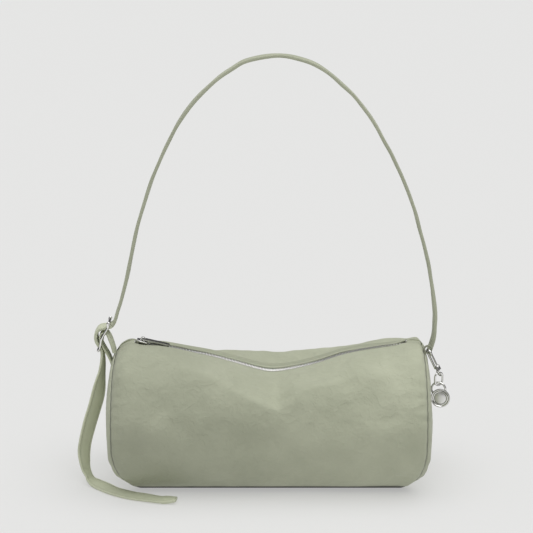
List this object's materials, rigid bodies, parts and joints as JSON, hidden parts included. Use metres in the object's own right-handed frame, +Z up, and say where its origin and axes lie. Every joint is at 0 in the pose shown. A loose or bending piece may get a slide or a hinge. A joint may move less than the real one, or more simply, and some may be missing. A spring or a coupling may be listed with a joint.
{
  "type": "shoulder bag",
  "caption": "Small barrel shoulder bag of crinkled nylon with a sagging zipped top, a thin shoulder strap through a buckle with a long free tail, and a disc charm on a clasp.",
  "frame": {"origin": "middle of the flat bottom, on the floor", "axes": "+X to the right in the picture (charm end), +Y to the back, +Z up"},
  "size_m": [0.3392, 0.1457, 0.3919],
  "materials": {
    "nylon": "matte crinkled nylon",
    "strap_fabric": "matte folded nylon",
    "zip_tape": "fine twill tape",
    "binding": "matte tape",
    "zip_metal": "polished nickel",
    "hardware": "polished nickel"
  },
  "bodies": {
    "bag": {"body_panel": "nylon", "end_panel_left": "nylon", "end_panel_right": "nylon", "seam_binding_left": "binding", "seam_binding_right": "binding", "zip_tape_front": "zip_tape", "zip_tape_back": "zip_tape", "zip_teeth_front": "zip_metal", "zip_teeth_back": "zip_metal", "zip_top_stops": "zip_metal", "zip_bottom_stop": "zip_metal", "zip_tab_left": "nylon", "zip_tab_right": "nylon", "anchor_loop": "strap_fabric", "tri_glide": "hardware", "strap_wrap": "strap_fabric", "strap_base": "strap_fabric", "charm_loop": "strap_fabric"},
    "slider": {"slider_body": "zip_metal"},
    "pull": {"pull_tab": "zip_metal"},
    "strap": {"shoulder_strap": "strap_fabric"},
    "tail": {"strap_tail": "strap_fabric"},
    "clasp": {"clasp_body": "hardware"},
    "gate": {"clasp_gate": "hardware"},
    "link": {"oval_link": "hardware"},
    "ring": {"round_ring": "hardware"},
    "disc": {"charm_disc": "hardware"}
  },
  "joints": [
    {"name": "slider_travel", "type": "hinge", "parent": "bag", "child": "slider", "pos_m": [0, 0, 0.48182], "axis": [0, -1, 0], "range_deg": [0, 36.1], "deforming": ["zip_teeth_front", "zip_teeth_back"]},
    {"name": "pull_flip", "type": "hinge", "parent": "slider", "child": "pull", "pos_m": [-0.11499, 0, 0.12996], "axis": [0, -1, 0], "range_deg": [0, 160]},
    {"name": "strap_swing", "type": "hinge", "parent": "bag", "child": "strap", "pos_m": [0, 0, 0.156], "axis": [1, 0, 0], "range_deg": [-90, 90]},
    {"name": "tail_swing", "type": "hinge", "parent": "bag", "child": "tail", "pos_m": [-0.151, 0, 0.112], "axis": [-1, 0, 0], "range_deg": [0, 50]},
    {"name": "clasp_swing", "type": "hinge", "parent": "bag", "child": "clasp", "pos_m": [0.1433, -0.0182, 0.12731], "axis": [0, -1, 0], "range_deg": [0, 50]},
    {"name": "gate_open", "type": "hinge", "parent": "clasp", "child": "gate", "pos_m": [0.15209, -0.0211, 0.11238], "axis": [-0.8146, -0.4226, -0.3973], "range_deg": [0, 18], "stiffness_Nm_per_rad": 0.004, "springref_deg": -11.46},
    {"name": "link_swing", "type": "hinge", "parent": "clasp", "child": "link", "pos_m": [0.15382, -0.0182, 0.10574], "axis": [1, 0, 0], "range_deg": [0, 8]},
    {"name": "ring_swing", "type": "hinge", "parent": "link", "child": "ring", "pos_m": [0.15382, -0.0182, 0.09404], "axis": [1, 0, 0], "range_deg": [-8, 8]},
    {"name": "disc_swing", "type": "hinge", "parent": "ring", "child": "disc", "pos_m": [0.15382, -0.0182, 0.08374], "axis": [1, 0, 0], "range_deg": [-5, 10]}
  ]
}
